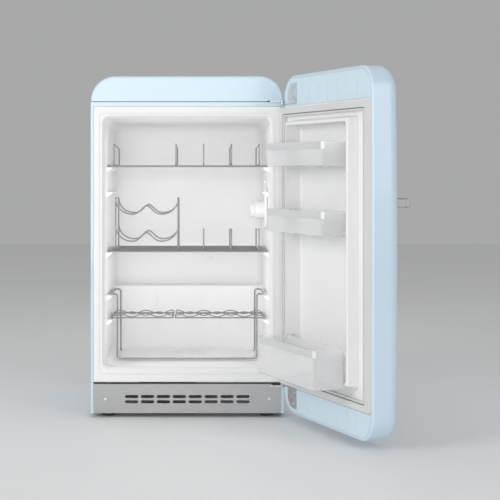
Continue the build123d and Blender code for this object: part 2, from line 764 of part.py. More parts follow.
# ================================================================ plinth grille
SLOT_PITCH = 44.7
SLOT_LENGTH = 37.0
SLOT_HEIGHT = 8.5
SLOT_ROWS = (44.0, 58.7)
PLINTH_HALF = FRAME_HALF - 0.7
PLINTH_SCREW_X = 230.5
PLINTH_SCREW_Z = 52.0
NOTCH_X = BRACKET_X[0] + 11
NOTCH_DROP = 6.8

with BuildPart() as plinth_grille:
    with BuildSketch(Plane.YZ.offset(-PLINTH_HALF)):
        with BuildLine():
            Polyline(
                (FRONT, FOOT_HEIGHT),
                (FRONT, PLINTH_TOP),
                (FRONT + 16, PLINTH_TOP),
                (FRONT + 16, PLINTH_TOP - SHEET),
                (FRONT + SHEET, PLINTH_TOP - SHEET),
                (FRONT + SHEET, FOOT_HEIGHT + SHEET),
                (FRONT + 16, FOOT_HEIGHT + SHEET),
                (FRONT + 16, FOOT_HEIGHT),
                close=True,
            )
        make_face()
    extrude(amount=2 * PLINTH_HALF)
    with BuildSketch(across(FRONT)):
        for row in SLOT_ROWS:
            with Locations((0, row)):
                with GridLocations(SLOT_PITCH, 1, 8, 1):
                    SlotOverall(SLOT_LENGTH, SLOT_HEIGHT)
    extrude(amount=-2 * SHEET, mode=Mode.SUBTRACT)
    add(
        slab((NOTCH_X, HALF_WIDTH), (FRONT - 1, FRONT + 20), (PLINTH_TOP - NOTCH_DROP, PLINTH_TOP + 1)),
        mode=Mode.SUBTRACT,
    )
save(plinth_grille, "plinth_grille")

plinth_screw_pair = [
    screw((side * PLINTH_SCREW_X, FRONT, PLINTH_SCREW_Z), (0, -1, 0), 11, 2.4) for side in (-1, 1)
]
with BuildPart() as plinth_screws:
    add(plinth_screw_pair)
save(plinth_screws, "plinth_screws")

# ================================================================ thermostat on the right wall
CONTROL_Y = FRONT + CONTROL_DEPTH
CONTROL_WALL = wall_at(CONTROL_DEPTH + CONTROL_DIAMETER / 2) - 0.4
SPINDLE_END = CONTROL_WALL - CONTROL_LENGTH - KNOB_LENGTH + 3


def facing_left(x):
    """Vertical plane along the cabinet at x, seen from inside: local x, y are -Y, Z."""
    return Plane(origin=(x, 0, 0), x_dir=(0, -1, 0), z_dir=(-1, 0, 0))


with BuildPart() as control_housing:
    with BuildSketch(facing_left(CONTROL_WALL)):
        with Locations((-CONTROL_Y, CONTROL_Z + 5)):
            RectangleRounded(62, 122, 22)
    extrude(amount=7)
    fillet(control_housing.faces().sort_by(Axis.X)[0].edges(), 3)
    with BuildSketch(facing_left(CONTROL_WALL)):
        with Locations((-CONTROL_Y, CONTROL_Z)):
            Circle(CONTROL_DIAMETER / 2)
    extrude(amount=CONTROL_LENGTH)
    fillet(control_housing.faces().sort_by(Axis.X)[0].edges(), 3)
    with BuildSketch(facing_left(CONTROL_WALL)):
        with Locations((-CONTROL_Y, CONTROL_Z)):
            Circle(SPINDLE_DIAMETER / 2 + RUNNING_GAP)
    extrude(amount=CONTROL_LENGTH, mode=Mode.SUBTRACT)
save(control_housing, "control_housing")

with BuildPart() as thermostat_knob:
    with BuildSketch(facing_left(CONTROL_WALL - CONTROL_LENGTH - REST_GAP)):
        with Locations((-CONTROL_Y, CONTROL_Z)):
            Circle(KNOB_DIAMETER / 2)
    extrude(amount=KNOB_LENGTH)
    fillet(thermostat_knob.faces().sort_by(Axis.X)[0].edges(), 2.5)
    with BuildSketch(facing_left(CONTROL_WALL - CONTROL_LENGTH)):
        with Locations((-CONTROL_Y, CONTROL_Z)):
            with PolarLocations(KNOB_DIAMETER / 2 + 0.6, 24):
                Circle(1.5)
    extrude(amount=KNOB_LENGTH - 2.6, mode=Mode.SUBTRACT)
    with BuildSketch(facing_left(CONTROL_WALL - CONTROL_LENGTH - REST_GAP - KNOB_LENGTH)):
        with Locations((-CONTROL_Y, CONTROL_Z + KNOB_DIAMETER / 4)):
            Rectangle(2.4, KNOB_DIAMETER / 2 - 5)
    extrude(amount=-1, mode=Mode.SUBTRACT)
    with BuildSketch(facing_left(CONTROL_WALL - 4)):
        with Locations((-CONTROL_Y, CONTROL_Z)):
            Circle(SPINDLE_DIAMETER / 2)
    extrude(amount=CONTROL_LENGTH)
save(thermostat_knob, "thermostat_knob")

LAMP_Z = 662.0
LAMP_SIZE = (26.0, 16.0)
with BuildPart() as lamp_lens:
    with BuildSketch(facing_left(CONTROL_WALL)):
        with Locations((-CONTROL_Y, LAMP_Z)):
            RectangleRounded(*LAMP_SIZE, 5)
    extrude(amount=9)
    fillet(lamp_lens.faces().sort_by(Axis.X)[0].edges(), 3)
    with BuildSketch(facing_left(CONTROL_WALL)):
        with Locations((-CONTROL_Y, LAMP_Z)):
            RectangleRounded(LAMP_SIZE[0] - 4, LAMP_SIZE[1] - 4, 3)
    extrude(amount=7, mode=Mode.SUBTRACT)
save(lamp_lens, "lamp_lens")


# ================================================================ wire shelves
def shelf_grid(level):
    """Outline wire with cross wires lying just under it."""
    front_half = wall_at(SHELF_FRONT) - WALL_CLEARANCE - SHELF_WIRE / 2
    rear_half = wall_at(SHELF_REAR) - WALL_CLEARANCE - SHELF_WIRE / 2
    y_front = FRONT + SHELF_FRONT
    y_rear = FRONT + SHELF_REAR
    outline = ring_rod(
        [
            (-front_half, y_front, level),
            (front_half, y_front, level),
            (rear_half, y_rear, level),
            (-rear_half, y_rear, level),
        ],
        SHELF_WIRE,
        9,
    )
    step = (SHELF_REAR - SHELF_FRONT) / (CROSS_COUNT + 1)
    wires = []
    for number in range(1, CROSS_COUNT + 1):
        depth = SHELF_FRONT + number * step
        share = (depth - SHELF_FRONT) / (SHELF_REAR - SHELF_FRONT)
        half = front_half + (rear_half - front_half) * share
        wires.append(straight((-half, FRONT + depth, level), (half, FRONT + depth, level), CROSS_WIRE))
    return outline, wires


def dividers(level, places):
    """Upright loops along the shelf that keep lying bottles apart, lower at the back."""
    y_front = FRONT + SHELF_FRONT + (SHELF_WIRE + DIVIDER_WIRE) / 2
    y_rear = FRONT + SHELF_REAR - (SHELF_WIRE + DIVIDER_WIRE) / 2
    foot_level = level + (CROSS_WIRE + DIVIDER_WIRE) / 2
    loops = []
    for x in places:
        loops.append(
            ring_rod(
                [
                    (x, y_front, foot_level),
                    (x, y_front, level + DIVIDER_FRONT_HEIGHT),
                    (x, y_rear, level + DIVIDER_REAR_HEIGHT),
                    (x, y_rear, foot_level),
                ],
                DIVIDER_WIRE,
                6,
            )
        )
    return loops


SHELVES = (
    ("upper_shelf", UPPER_SHELF_Z, DIVIDER_X),
    ("lower_shelf", LOWER_SHELF_Z, DIVIDER_X[2:]),
)
for shelf_name, shelf_level, loop_places in SHELVES:
    grid_outline, grid_wires = shelf_grid(shelf_level)
    shelf_loops = dividers(shelf_level, loop_places)
    with BuildPart() as grid:
        add(grid_outline)
        add(grid_wires)
    save(grid, shelf_name + "_grid")
    with BuildPart() as loops:
        add(shelf_loops)
    save(loops, shelf_name + "_dividers")


# ================================================================ wine rack on the lower shelf
def wave(left, y, crest):
    """Wire across the rack that hangs down in two cradles between its ends."""
    middle = left + CRADLE_PITCH
    end = left + 2 * CRADLE_PITCH
    flank = CRADLE_PITCH * 0.2
    low = crest - CRADLE_DROP
    points = [(left, y, crest)]
    for centre in (left + CRADLE_PITCH / 2, middle + CRADLE_PITCH / 2):
        points += [(centre - flank, y, low + 4), (centre, y, low), (centre + flank, y, low + 4)]
        points.append((middle, y, crest - CRADLE_DIP) if centre < middle else (end, y, crest))
    with BuildPart() as bar:
        with BuildLine() as path:
            Spline(*points)
        with BuildSketch(Plane(origin=path.line @ 0, z_dir=path.line % 0)):
            Circle(RACK_WIRE / 2)
        sweep()
    return bar.part


RACK_FRONT_Y = FRONT + SHELF_FRONT + 14
RACK_REAR_Y = RACK_FRONT_Y + WINE_RACK_DEPTH
RACK_FLOOR = LOWER_SHELF_Z + SHELF_WIRE / 2 + REST_GAP
crests = [RACK_FLOOR + WINE_RACK_TOP - tier * WINE_RACK_TIER for tier in (0, 1)]
rack_waves = [wave(WINE_RACK_LEFT, y, crest) for crest in crests for y in (RACK_FRONT_Y, RACK_REAR_Y)]
rack_frames = []
for x in (WINE_RACK_LEFT, WINE_RACK_LEFT + 2 * CRADLE_PITCH):
    rack_frames.append(
        ring_rod(
            [
                (x, RACK_FRONT_Y, RACK_FLOOR + RACK_WIRE / 2),
                (x, RACK_FRONT_Y, crests[0] + 2),
                (x, RACK_REAR_Y, crests[0] + 2),
                (x, RACK_REAR_Y, RACK_FLOOR + RACK_WIRE / 2),
            ],
            RACK_WIRE,
            8,
        )
    )
with BuildPart() as wine_rack_frames:
    add(rack_frames)
save(wine_rack_frames, "wine_rack_frames")
with BuildPart() as wine_rack_cradles:
    add(rack_waves)
save(wine_rack_cradles, "wine_rack_cradles")


# ================================================================ low bottle racks
def low_rack(left, right, first, count):
    """Flat rack of shallow cradles inside an outline wire that ends at left and right."""
    front = FRONT + LOW_RACK_FRONT
    rear = front + LOW_RACK_DEPTH
    outline = ring_rod(
        [
            (left, front, LOW_RACK_Z),
            (right, front, LOW_RACK_Z),
            (right, rear, LOW_RACK_Z),
            (left, rear, LOW_RACK_Z),
        ],
        RACK_WIRE,
        7,
    )
    pieces = [outline]
    for y, phase in ((front + 26, 0), ((front + rear) / 2, 2), (rear - 26, 0)):
        points = [(left, y, LOW_RACK_Z)]
        for number in range(4 * count + 1):
            rise = 0.5 * LOW_WAVE * (1 + (1, 0, -1, 0)[(number + phase) % 4])
            points.append((first + number * LOW_CRADLE / 4, y, LOW_RACK_Z + rise))
        points.append((right, y, LOW_RACK_Z))
        points.sort()
        with BuildPart() as crest_wire:
            with BuildLine() as path:
                Spline(*points)
            with BuildSketch(Plane(origin=path.line @ 0, z_dir=path.line % 0)):
                Circle(CROSS_WIRE / 2)
            sweep()
        pieces.append(crest_wire.part)
    return pieces


LOW_END = wall_at(LOW_RACK_FRONT + LOW_RACK_DEPTH) - WALL_CLEARANCE - RACK_WIRE / 2
LOW_FIRST = -2.5 * LOW_CRADLE - 6
LOW_SECOND = LOW_FIRST + 2 * LOW_CRADLE + 12
LOW_SPLIT = LOW_SECOND - 6
rack_left = low_rack(-LOW_END, LOW_SPLIT - 3.5, LOW_FIRST, 2)
rack_right = low_rack(LOW_SPLIT + 3.5, LOW_END, LOW_SECOND, 3)
with BuildPart() as bottle_rack_left:
    add(rack_left)
save(bottle_rack_left, "bottle_rack_left")
with BuildPart() as bottle_rack_right:
    add(rack_right)
save(bottle_rack_right, "bottle_rack_right")

# ================================================================ lower basket
HOOP_HALF = BASKET_WIDTH / 2
HOOK_LEFT = BASKET_CENTRE - HOOP_HALF - BASKET_HOOK
HOOK_RIGHT = BASKET_CENTRE + HOOP_HALF + BASKET_HOOK
basket_rear = BASKET_FRONT + BASKET_DEPTH


def hoop(y):
    """U-shaped wire whose ends bend outward to hang on the side wires."""
    return rod(
        [
            (HOOK_LEFT, y, BASKET_TOP),
            (BASKET_CENTRE - HOOP_HALF, y, BASKET_TOP),
            (BASKET_CENTRE - HOOP_HALF, y, BASKET_BOTTOM),
            (BASKET_CENTRE + HOOP_HALF, y, BASKET_BOTTOM),
            (BASKET_CENTRE + HOOP_HALF, y, BASKET_TOP),
            (HOOK_RIGHT, y, BASKET_TOP),
        ],
        BASKET_WIRE,
        7,
    )


hoop_pair = [hoop(FRONT + BASKET_FRONT), hoop(FRONT + basket_rear)]
side_wires = [
    straight(
        (x, FRONT + BASKET_FRONT - 3, BASKET_TOP),
        (x, FRONT + basket_rear + 3, BASKET_TOP),
        BASKET_WIRE,
    )
    for x in (HOOK_LEFT, HOOK_RIGHT)
]
with BuildPart() as basket_frame:
    add(hoop_pair)
    add(side_wires)
save(basket_frame, "basket_frame")

with BuildPart() as basket_floor:
    with BuildSketch(Plane.XY.offset(BASKET_BOTTOM + BASKET_WIRE / 2)):
        with Locations((BASKET_CENTRE, FRONT + BASKET_FRONT + BASKET_DEPTH / 2)):
            RectangleRounded(BASKET_WIDTH - 2 * BASKET_WIRE, BASKET_DEPTH + BASKET_WIRE, 6)
    extrude(amount=FLOOR_PLATE)
    fillet(basket_floor.edges().group_by(Axis.Z)[-1], 1)
save(basket_floor, "basket_floor")

# ================================================================ hinges
PIN_TOP_Z = DECK_TOP + BRACKET_THICKNESS
TOP_LEAF_Z = DECK_TOP - 7.5
BOTTOM_BRACKET_Z = PLINTH_TOP - NOTCH_DROP + 0.3
BOTTOM_LEAF_Z = BOTTOM_BRACKET_Z + BRACKET_THICKNESS + 1.2
LEAF_END = 92.0                # leaf reaches this far from the door's side edge
LEAF_WIDTH = 57.0
LEAF_HEIGHT = 57.0


def bracket(level, reach):
    """Flat cabinet bracket with a rounded nose round the pin."""
    with BuildPart() as plate:
        with BuildSketch(Plane.XY.offset(level)):
            with Locations((BRACKET_X[0] + 12, FRONT)):
                Rectangle(FRAME_HALF - BRACKET_X[0] - 13, reach, align=Align.MIN)
            with Locations((HINGE_X, HINGE_Y)):
                Circle(EAR_RADIUS)
            with Locations((HINGE_X, HINGE_Y)):
                Rectangle(34, EAR_RADIUS, align=(Align.MAX, Align.MIN))
            with Locations((HINGE_X, HINGE_Y + EAR_RADIUS)):
                Rectangle(34, PIN_FROM_FRONT - EAR_RADIUS, align=(Align.MAX, Align.MIN))
            with Locations((HINGE_X, HINGE_Y)):
                Circle(PIN_RADIUS, mode=Mode.SUBTRACT)
        extrude(amount=BRACKET_THICKNESS)
    return plate.part


bracket_pair = [bracket(DECK_TOP, BRACKET_REACH), bracket(BOTTOM_BRACKET_Z, 36)]
with BuildPart() as hinge_brackets:
    add(bracket_pair)
save(hinge_brackets, "hinge_brackets")

bracket_screw_places = [
    (BRACKET_X[0] + 18, FRONT + 14, PIN_TOP_Z),
    (BRACKET_X[0] + 18, FRONT + 38, PIN_TOP_Z),
]
bracket_screw_set = [screw(place, (0, 0, 1), 5.6, 0.4) for place in bracket_screw_places]
with BuildPart() as bracket_screws:
    add(bracket_screw_set)
save(bracket_screws, "bracket_screws")

with BuildPart() as hinge_pins:
    with BuildSketch(Plane.XY.offset(TOP_LEAF_Z - 3)):
        with Locations((HINGE_X, HINGE_Y)):
            Circle(PIN_RADIUS)
    extrude(amount=PIN_TOP_Z + 1 - TOP_LEAF_Z + 3)
    with BuildSketch(Plane.XY.offset(BOTTOM_BRACKET_Z - 1)):
        with Locations((HINGE_X, HINGE_Y)):
            Circle(PIN_RADIUS)
    extrude(amount=BOTTOM_LEAF_Z + LEAF_THICKNESS + 2 - BOTTOM_BRACKET_Z)
save(hinge_pins, "hinge_pins")

BUSH_RADIUS = PIN_RADIUS + RUNNING_GAP + BUSH_WALL
with BuildPart() as hinge_bushes:
    for leaf_z in (TOP_LEAF_Z, BOTTOM_LEAF_Z):
        with BuildSketch(Plane.XY.offset(leaf_z - 0.8)):
            with Locations((HINGE_X, HINGE_Y)):
                Circle(EAR_RADIUS - 0.4)
                Circle(PIN_RADIUS + RUNNING_GAP, mode=Mode.SUBTRACT)
        extrude(amount=0.8)
        with BuildSketch(Plane.XY.offset(leaf_z)):
            with Locations((HINGE_X, HINGE_Y)):
                Circle(BUSH_RADIUS)
                Circle(PIN_RADIUS + RUNNING_GAP, mode=Mode.SUBTRACT)
        extrude(amount=LEAF_THICKNESS)
save_on_door(hinge_bushes, "hinge_bushes")


def door_leaf(level, upward):
    """Door hinge plate: an ear on the pin and a plate on the door's inner side."""
    near = HALF_WIDTH - LEAF_END + LEAF_WIDTH
    far = HALF_WIDTH - LEAF_END
    start = level if upward else level + LEAF_THICKNESS
    end = start + LEAF_HEIGHT if upward else start - LEAF_HEIGHT
    low, high = min(start, end), max(start, end)
    with BuildPart() as leaf:
        with BuildSketch(Plane.XY.offset(level)):
            with Locations((far, INNER)):
                Rectangle(HINGE_X - far, EAR_RADIUS + 0.2, align=Align.MIN)
            with Locations((HINGE_X, HINGE_Y)):
                Circle(EAR_RADIUS)
            with Locations((HINGE_X, HINGE_Y)):
                Circle(BUSH_RADIUS, mode=Mode.SUBTRACT)
        extrude(amount=LEAF_THICKNESS)
        with BuildSketch(across(INNER + 2.5)):
            with Locations(((near + far) / 2, (low + high) / 2)):
                Rectangle(LEAF_WIDTH, LEAF_HEIGHT)
        extrude(amount=2.5)
        corner = [
            edge
            for edge in leaf.edges().filter_by(Axis.Y)
            if abs(edge.center().X - near) < 0.1 and abs(edge.center().Z - end) < 0.1
        ]
        fillet(corner, 34)
    return leaf.part


leaf_pair = [door_leaf(TOP_LEAF_Z, True), door_leaf(BOTTOM_LEAF_Z, False)]
with BuildPart() as door_hinge_plates:
    add(leaf_pair)
save_on_door(door_hinge_plates, "door_hinge_plates")

leaf_screw_places = []
for level, direction in ((TOP_LEAF_Z, 1), (BOTTOM_LEAF_Z + LEAF_THICKNESS, -1)):
    for along, rise in ((74, 44), (51, 14), (76, 14)):
        leaf_screw_places.append((HALF_WIDTH - along, INNER + 2.5, level + direction * rise))
leaf_screw_set = [screw(place, (0, 1, 0), 8, 1.6) for place in leaf_screw_places]
with BuildPart() as door_hinge_screws:
    add(leaf_screw_set)
save_on_door(door_hinge_screws, "door_hinge_screws")


# ================================================================ door shell
def door_block(inset):
    """Solid door body shrunk by inset, with its bowed face and rounded edges."""
    height = DOOR_HEIGHT - 2 * inset
    sagitta = DOOR_BOW
    edge_thickness = DOOR_THICKNESS - DOOR_BOW - inset
    with BuildPart() as body:
        with BuildSketch(across(INNER - inset)):
            with Locations((0, DOOR_CENTRE)):
                RectangleRounded(CABINET_WIDTH - 2 * inset, height, DOOR_CORNER - inset)
        extrude(amount=DOOR_THICKNESS - 2 * inset)
        with BuildSketch(Plane.YZ.offset(-CABINET_WIDTH)):
            with BuildLine():
                bottom = DOOR_CENTRE - height / 2 - 20
                top = DOOR_CENTRE + height / 2 + 20
                ThreePointArc(
                    (INNER - edge_thickness, bottom),
                    (INNER - edge_thickness - sagitta, DOOR_CENTRE),
                    (INNER - edge_thickness, top),
                )
                Line((INNER - edge_thickness, top), (INNER + 5, top))
                Line((INNER + 5, top), (INNER + 5, bottom))
                Line((INNER + 5, bottom), (INNER - edge_thickness, bottom))
            make_face()
        extrude(amount=2 * CABINET_WIDTH, mode=Mode.INTERSECT)
        outer = body.faces().sort_by(Axis.Y)[0].edges()
        fillet(outer, DOOR_OUTER_ROUND - inset)
        fillet(body.faces().sort_by(Axis.Y)[-1].edges(), DOOR_INNER_ROUND - inset)
    return body.part


door_outside = door_block(0)
door_inside = door_block(SHEET)

with BuildPart() as door_skin:
    add(door_outside)
    add(door_inside, mode=Mode.SUBTRACT)
    with BuildSketch(across(INNER + 1)):
        with Locations((0, DOOR_CENTRE)):
            RectangleRounded(
                CABINET_WIDTH - 2 * DOOR_LIP, DOOR_HEIGHT - 2 * DOOR_LIP, DOOR_CORNER - DOOR_LIP
            )
    extrude(amount=SHEET + 2, mode=Mode.SUBTRACT)
save_on_door(door_skin, "door_skin")

CAP_PLATE = 2.5
RIB_SIZE = (3.0, 1.2)


def end_cap(top):
    """Ribbed plate that closes one end of the door's inner side."""
    split = CAP_SPLIT_TOP if top else CAP_SPLIT_BOTTOM
    far = DOOR_BOTTOM + DOOR_HEIGHT if top else DOOR_BOTTOM
    keep = (split, far) if top else (far, split)
    inset = DOOR_LIP + 0.2
    rib_low = split + 8 if top else split - 58
    window = slab((-HALF_WIDTH, HALF_WIDTH), (INNER - 30, INNER + 30), keep)
    with BuildPart() as plate:
        with BuildSketch(across(INNER)):
            with Locations((0, DOOR_CENTRE)):
                RectangleRounded(
                    CABINET_WIDTH - 2 * inset, DOOR_HEIGHT - 2 * inset, DOOR_CORNER - inset
                )
        extrude(amount=CAP_PLATE)
        add(window, mode=Mode.INTERSECT)
        with BuildSketch(across(INNER)):
            with Locations((RIB_CENTRE, rib_low + 25)):
                with GridLocations(RIB_PITCH, 1, RIB_COUNT, 1):
                    SlotOverall(50, RIB_SIZE[0], rotation=90)
        extrude(amount=-RIB_SIZE[1])
        ridge_start = -HALF_WIDTH + DOOR_LIP + 5
        ridge_end = HALF_WIDTH - LEAF_END - 3
        with BuildSketch(across(INNER)):
            with Locations((ridge_start, split + 1 if top else split - 1)):
                Rectangle(ridge_end - ridge_start, 2, align=(Align.MIN, Align.CENTER))
        extrude(amount=-2)
    return plate


save_on_door(end_cap(True), "door_end_cap_top")
save_on_door(end_cap(False), "door_end_cap_bottom")

# ================================================================ door liner, gasket and foam
DIKE_CENTRE = DIKE_BOTTOM + DIKE_HEIGHT / 2
RECESS_WIDTH = DIKE_WIDTH - 2 * DIKE_BAND - 8
RECESS_HEIGHT = DIKE_HEIGHT - 2 * DIKE_BAND - 8

with BuildPart() as liner_body:
    with BuildSketch(across(INNER)):
        with Locations((0, (CAP_SPLIT_TOP + CAP_SPLIT_BOTTOM) / 2)):
            Rectangle(CABINET_WIDTH - 2 * DOOR_LIP - 0.4, CAP_SPLIT_TOP - CAP_SPLIT_BOTTOM - 0.4)
    extrude(amount=PLASTIC)
    with BuildSketch(across(INNER)):
        with Locations((0, DIKE_CENTRE)):
            RectangleRounded(DIKE_WIDTH, DIKE_HEIGHT, 12)
    extrude(amount=-DIKE_RISE, taper=DIKE_TAPER)
    fillet(liner_body.faces().sort_by(Axis.Y)[-1].edges(), 4)
    with BuildSketch(across(INNER)):
        with Locations((0, DIKE_CENTRE)):
            RectangleRounded(RECESS_WIDTH + 2 * PLASTIC, RECESS_HEIGHT + 2 * PLASTIC, 10)
    extrude(amount=RECESS_DEPTH + PLASTIC)

with BuildPart() as liner_recess:
    with BuildSketch(across(INNER - RECESS_DEPTH)):
        with Locations((0, DIKE_CENTRE)):
            RectangleRounded(RECESS_WIDTH, RECESS_HEIGHT, 8)
    extrude(amount=-(RECESS_DEPTH + DIKE_RISE + 5))
    fillet(liner_recess.faces().sort_by(Axis.Y)[0].edges(), 6)

LUG_HEIGHT = 12.0
LUG_DEPTH = 16.0
EAR_WIDTH = RECESS_WIDTH / 2 - BALCONY_WIDTH / 2 - REST_GAP
lugs = []
for bottom, top, rear, reach in BALCONIES.values():
    for side in (-1, 1):
        inner_x = side * (RECESS_WIDTH / 2 - EAR_WIDTH)
        outer_x = side * (RECESS_WIDTH / 2 + 1)
        lugs.append(
            slab(
                (min(inner_x, outer_x), max(inner_x, outer_x)),
                (INNER + 4, INNER + 4 + LUG_DEPTH),
                (top - EAR_HEIGHT - REST_GAP - LUG_HEIGHT, top - EAR_HEIGHT - REST_GAP),
            )
        )

with BuildPart() as door_liner:
    add(liner_body.part)
    add(liner_recess.part, mode=Mode.SUBTRACT)
    add(lugs)
save_on_door(door_liner, "door_liner")

with BuildPart() as door_gasket:
    with BuildSketch(across(INNER)):
        with Locations((0, GASKET_BOTTOM + GASKET_HEIGHT / 2)):
            RectangleRounded(GASKET_WIDTH, GASKET_HEIGHT, 4)
            RectangleRounded(
                GASKET_WIDTH - 2 * GASKET_BAND, GASKET_HEIGHT - 2 * GASKET_BAND, 3, mode=Mode.SUBTRACT
            )
    extrude(amount=-(DOOR_GAP - GASKET_CLEARANCE))
    with BuildSketch(across(INNER + 3)):
        with Locations((0, GASKET_BOTTOM + GASKET_HEIGHT / 2)):
            RectangleRounded(GASKET_WIDTH - 33, GASKET_HEIGHT - 33, 3)
            RectangleRounded(GASKET_WIDTH - 39, GASKET_HEIGHT - 39, 3, mode=Mode.SUBTRACT)
    extrude(amount=-(DOOR_GAP - GASKET_CLEARANCE), mode=Mode.SUBTRACT)
    fillet(door_gasket.faces().sort_by(Axis.Y)[-1].edges(), 0.8)
save_on_door(door_gasket, "door_gasket")

with BuildPart() as door_foam:
    add(door_inside)
    add(
        slab((-HALF_WIDTH, HALF_WIDTH), (INNER - CAP_PLATE, INNER + 1), (0, CABINET_HEIGHT)),
        mode=Mode.SUBTRACT,
    )
    add(liner_body.part, mode=Mode.SUBTRACT)
    add(liner_recess.part, mode=Mode.SUBTRACT)
save_on_door(door_foam, "door_insulation")

# ================================================================ balconies
for balcony_name, (bottom, top, rear, reach) in BALCONIES.items():
    half = BALCONY_WIDTH / 2
    front_y = INNER + reach
    rear_y = INNER + rear
    ear_start = INNER + 5
    ear_end = max(INNER + 3 + LUG_DEPTH, rear_y + 24)
    with BuildPart() as balcony:
        with BuildSketch(Plane.XY.offset(bottom)):
            with Locations((0, (front_y + rear_y) / 2)):
                RectangleRounded(BALCONY_WIDTH, front_y - rear_y, 9)
        extrude(amount=top - bottom)
        fillet(balcony.edges().group_by(Axis.Z)[0], 4)
        with BuildSketch(Plane.XY.offset(bottom + BALCONY_WALL)):
            with Locations((0, (front_y + rear_y) / 2)):
                RectangleRounded(
                    BALCONY_WIDTH - 2 * BALCONY_WALL, front_y - rear_y - 2 * BALCONY_WALL, 6.5
                )
        extrude(amount=top - bottom, mode=Mode.SUBTRACT)
        for side in (-1, 1):
            with BuildSketch(Plane.XY.offset(top - EAR_HEIGHT)):
                with Locations((side * (half + EAR_WIDTH / 2 - 0.5), (ear_start + ear_end) / 2)):
                    Rectangle(EAR_WIDTH, ear_end - ear_start)
            extrude(amount=EAR_HEIGHT)
    save_on_door(balcony, "balcony_" + balcony_name)
    with BuildPart() as trim:
        with BuildSketch(Plane.XY.offset(top - BALCONY_TRIM)):
            with Locations((0, front_y + 1.2 - 14)):
                RectangleRounded(BALCONY_WIDTH + 2.4, 28, 10)
            with Locations((0, front_y - 14)):
                RectangleRounded(BALCONY_WIDTH, 28, 9, mode=Mode.SUBTRACT)
            with Locations((0, front_y - TRIM_RETURN - 14)):
                Rectangle(BALCONY_WIDTH + 10, 28, mode=Mode.SUBTRACT)
        extrude(amount=BALCONY_TRIM + 1)
    save_on_door(trim, "balcony_trim_" + balcony_name)

# ================================================================ handle
HANDLE_END = -HALF_WIDTH + HANDLE_FROM_EDGE
HANDLE_CENTRE = HANDLE_END + HANDLE_LENGTH / 2
FACE_Y = INNER - DOOR_THICKNESS

with BuildPart() as handle_base:
    with BuildSketch(across(FACE_Y + 6)):
        with Locations((HANDLE_CENTRE, HANDLE_Z)):
            RectangleRounded(HANDLE_LENGTH - 20, HANDLE_HEIGHT + 8, 12)
    extrude(amount=11)
    fillet(handle_base.faces().sort_by(Axis.Y)[0].edges(), 3)
    for side in (-1, 1):
        with BuildSketch(across(FACE_Y)):
            with Locations((HANDLE_CENTRE + side * (HANDLE_LENGTH - HANDLE_POST) / 2, HANDLE_Z)):
                RectangleRounded(HANDLE_POST, HANDLE_HEIGHT - 2, 3)
        extrude(amount=HANDLE_STANDOFF - HANDLE_BAR)
    add(door_outside, mode=Mode.SUBTRACT)
save_on_door(handle_base, "handle_base")

with BuildPart() as handle_grip:
    with BuildSketch(Plane.YZ.offset(HANDLE_CENTRE)):
        with Locations((FACE_Y - HANDLE_STANDOFF + HANDLE_BAR / 2, HANDLE_Z)):
            RectangleRounded(HANDLE_BAR, HANDLE_HEIGHT, 6)
    extrude(amount=HANDLE_LENGTH / 2, both=True)
    fillet(handle_grip.faces().filter_by(Axis.X).edges(), 3)
    add(handle_base.part.rotate(HINGE_AXIS, -DOOR_OPEN), mode=Mode.SUBTRACT)
save_on_door(handle_grip, "handle_grip")
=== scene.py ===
"""Looks of the small retro refrigerator: materials, light and camera."""
import json
import math

import bpy
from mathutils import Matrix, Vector

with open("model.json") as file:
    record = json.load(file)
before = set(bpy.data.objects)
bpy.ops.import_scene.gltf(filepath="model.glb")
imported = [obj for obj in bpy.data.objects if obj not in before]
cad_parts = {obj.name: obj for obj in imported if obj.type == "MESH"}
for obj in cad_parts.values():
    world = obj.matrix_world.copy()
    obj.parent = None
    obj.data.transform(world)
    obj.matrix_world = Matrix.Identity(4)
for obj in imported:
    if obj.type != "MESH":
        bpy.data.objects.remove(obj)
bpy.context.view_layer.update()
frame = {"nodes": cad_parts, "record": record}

ENAMEL = (0.59, 0.73, 0.835)
WHITE = (0.885, 0.885, 0.883)
FLOOR_REACH = 9.0

CAMERA_PLACE = (0.047, -4.2235, 0.696)
LENS_MM = 101.1
SENSOR_MM = 36
LENS_SHIFT = (0.092, -0.16)

# name: (place, target, width and height, watts), all in metres
STUDIO_LIGHTS = {
    "key": ((-3.5, -2.9, 1.9), (0.2, -0.4, 0.5), (2.2, 2.2), 76),
    "fill": ((2.9, -3.4, 1.8), (0.2, -0.3, 0.5), (2.2, 2.6), 36),
    "front": ((-0.4, -5.4, 0.8), (0, 0.1, 0.5), (1.6, 1.4), 38),
    "top": ((0, 0.2, 3.4), (0, 0, 0.9), (2.5, 2.5), 16),
}
CAVITY_LIGHT = ((-0.02, -0.268, 0.49), (-0.02, 0.1, 0.49), (0.38, 0.62), 0.82)


